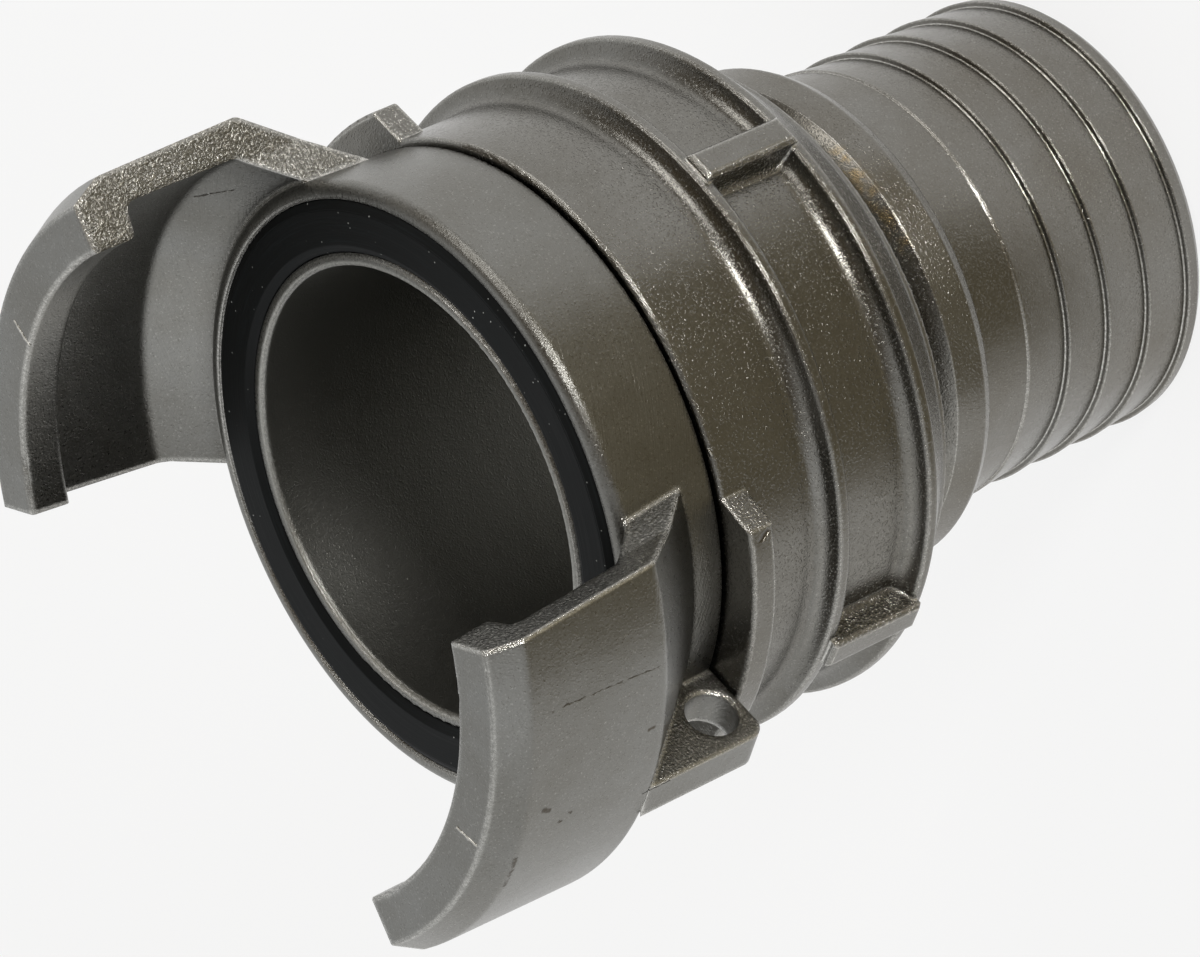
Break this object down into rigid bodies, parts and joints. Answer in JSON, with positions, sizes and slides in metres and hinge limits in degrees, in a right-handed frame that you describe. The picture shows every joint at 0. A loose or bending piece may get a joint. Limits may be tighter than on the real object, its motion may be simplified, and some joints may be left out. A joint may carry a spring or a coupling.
{
  "type": "quarter turn hose coupling",
  "caption": "Cast steel fire hose coupling with two hooked claws, a rubber face seal, a turning locking ring with ramps and spanner lugs, and a barbed hose tail.",
  "frame": {"origin": "centre of the hose tail's end, which the coupling stands on", "axes": "+Z along the waterway from the hose tail to the claws, +X to the claw that carries the tether tab"},
  "size_m": [0.18, 0.159, 0.2383],
  "materials": {
    "cast_steel": "investment cast stainless steel, bead blasted and lightly tumbled, satin",
    "ring_steel": "investment cast stainless steel, bead blasted, satin with turned front edge",
    "tail_steel": "investment cast stainless steel, bead blasted, turned cone in front of the shoulder",
    "black_rubber": "moulded nitrile rubber, semi-matt, dusty",
    "gasket_rubber": "flat cut rubber, matt",
    "spring_wire": "drawn stainless spring wire"
  },
  "bodies": {
    "coupling": {"claw_body": "cast_steel", "face_seal": "black_rubber", "hose_tail": "tail_steel", "tail_gasket": "gasket_rubber", "retaining_wire": "spring_wire"},
    "ring": {"locking_ring": "ring_steel"}
  },
  "joints": [
    {"name": "ring_turn", "type": "hinge", "parent": "coupling", "child": "ring", "pos_m": [0, 0, 0.1275], "axis": [0, 0, 1], "continuous": true}
  ]
}
